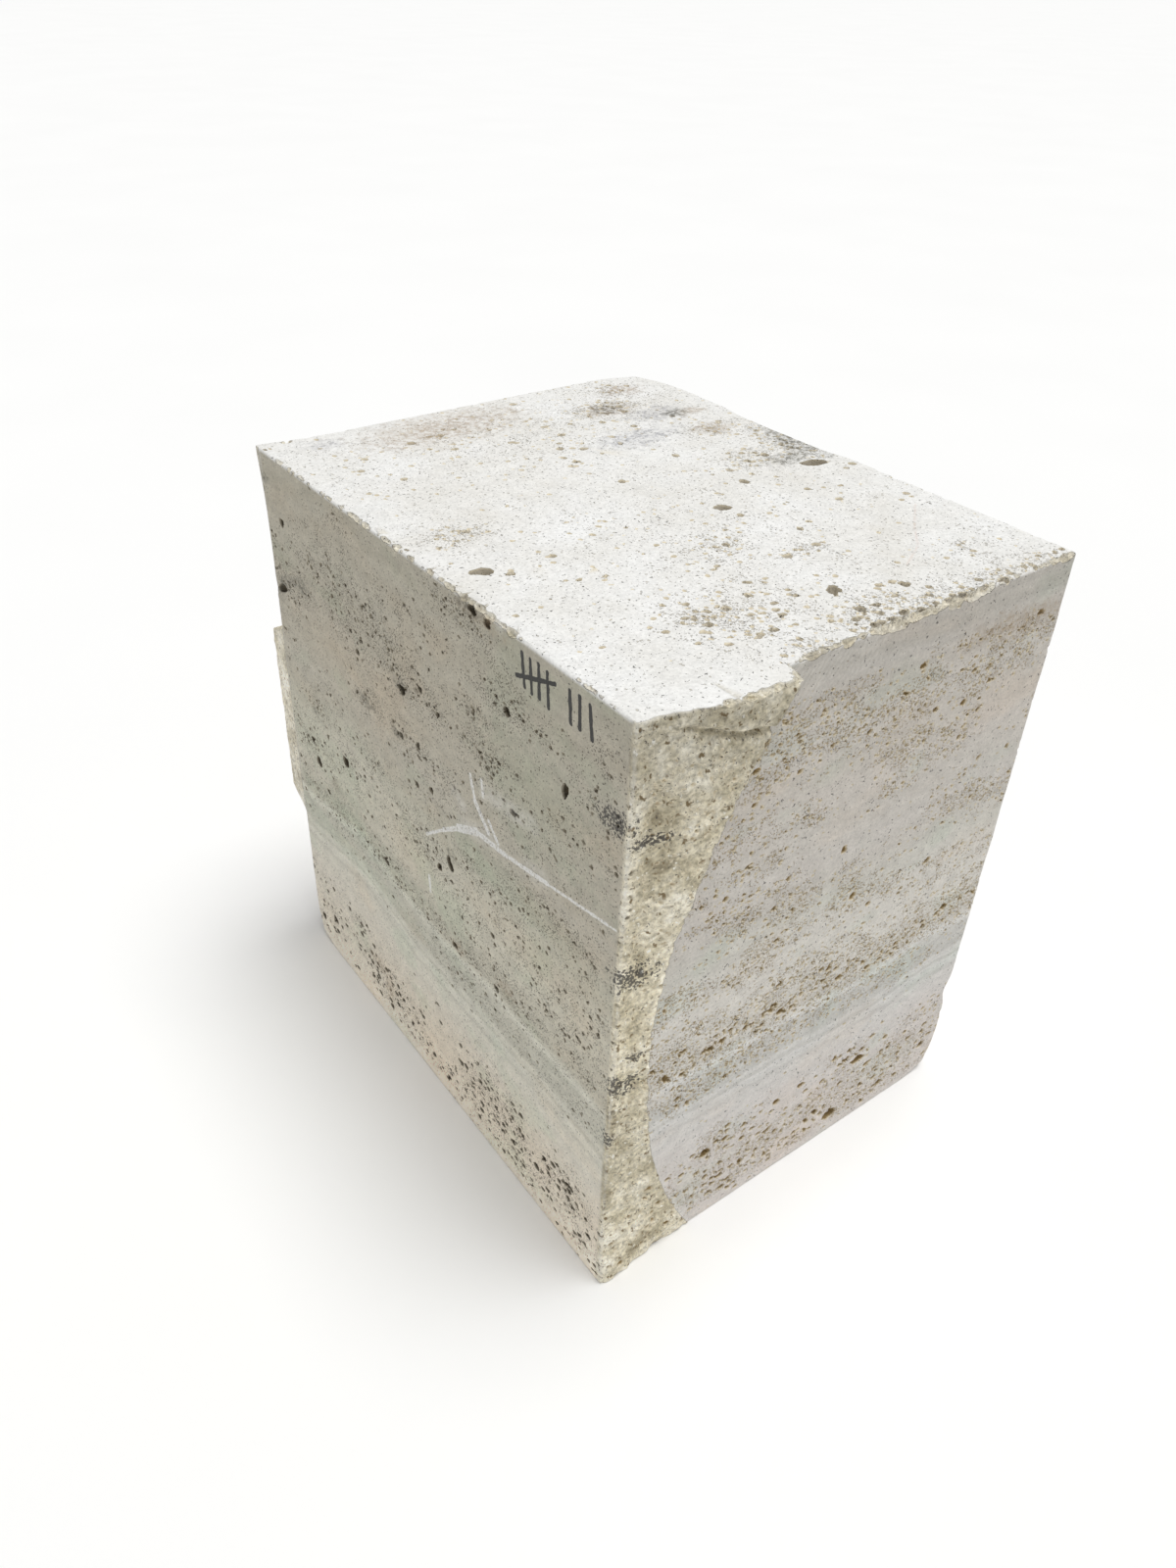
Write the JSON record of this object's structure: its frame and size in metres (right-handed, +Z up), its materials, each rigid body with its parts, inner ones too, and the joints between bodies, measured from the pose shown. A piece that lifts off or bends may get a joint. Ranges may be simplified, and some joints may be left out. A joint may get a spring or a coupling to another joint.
{
  "type": "travertine block",
  "caption": "Sawn block of pitted, bedded travertine with a rough strip left down one corner, for use as a plinth, stool or side table.",
  "frame": {"origin": "middle of the sawn base, on the surface that the block stands on", "axes": "+Z up, +X across the 400 mm width towards the sawn side away from the rough strip, -Y out of the front face that carries the rough strip"},
  "size_m": [0.4, 0.5494, 0.54],
  "materials": {
    "travertine": "matt saw-cut travertine, cream to grey in level beds, with open pits, and tan broken stone on the rough strips"
  },
  "bodies": {
    "root": {"travertine_block": "travertine"}
  },
  "joints": []
}
